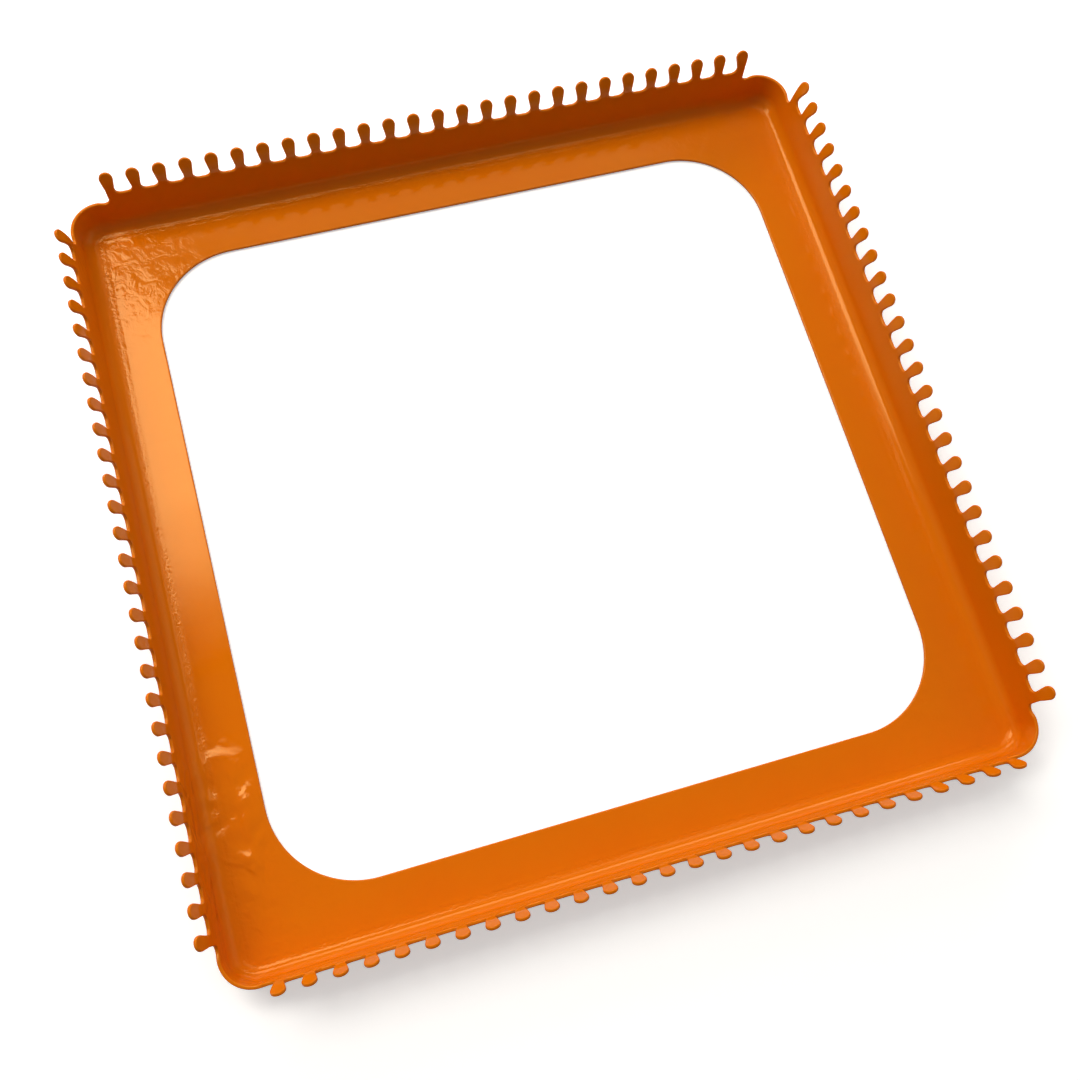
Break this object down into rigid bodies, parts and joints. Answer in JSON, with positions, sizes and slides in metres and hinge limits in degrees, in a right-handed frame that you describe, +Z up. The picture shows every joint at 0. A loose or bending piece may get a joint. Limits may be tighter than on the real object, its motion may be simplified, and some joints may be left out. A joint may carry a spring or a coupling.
{
  "type": "potholder loom",
  "caption": "Square pressed-steel potholder loom, a shallow powder-coated tray with an open floor and a row of flared pegs along each wall.",
  "frame": {"origin": "on the table under the middle of the floor ring", "axes": "+Z up, away from the table; -Y to the front, +X to the right"},
  "size_m": [0.2574, 0.2574, 0.024],
  "materials": {
    "powder_coat": "gloss orange powder coat on steel sheet"
  },
  "bodies": {
    "root": {"floor_rail_front": "powder_coat", "floor_rail_right": "powder_coat", "floor_rail_back": "powder_coat", "floor_rail_left": "powder_coat", "floor_corner_front_right": "powder_coat", "floor_corner_back_right": "powder_coat", "floor_corner_back_left": "powder_coat", "floor_corner_front_left": "powder_coat", "wall_front": "powder_coat", "wall_right": "powder_coat", "wall_back": "powder_coat", "wall_left": "powder_coat", "wall_corner_front_right": "powder_coat", "wall_corner_back_right": "powder_coat", "wall_corner_back_left": "powder_coat", "wall_corner_front_left": "powder_coat", "peg_row_front": "powder_coat", "peg_row_right": "powder_coat", "peg_row_back": "powder_coat", "peg_row_left": "powder_coat"}
  },
  "joints": []
}
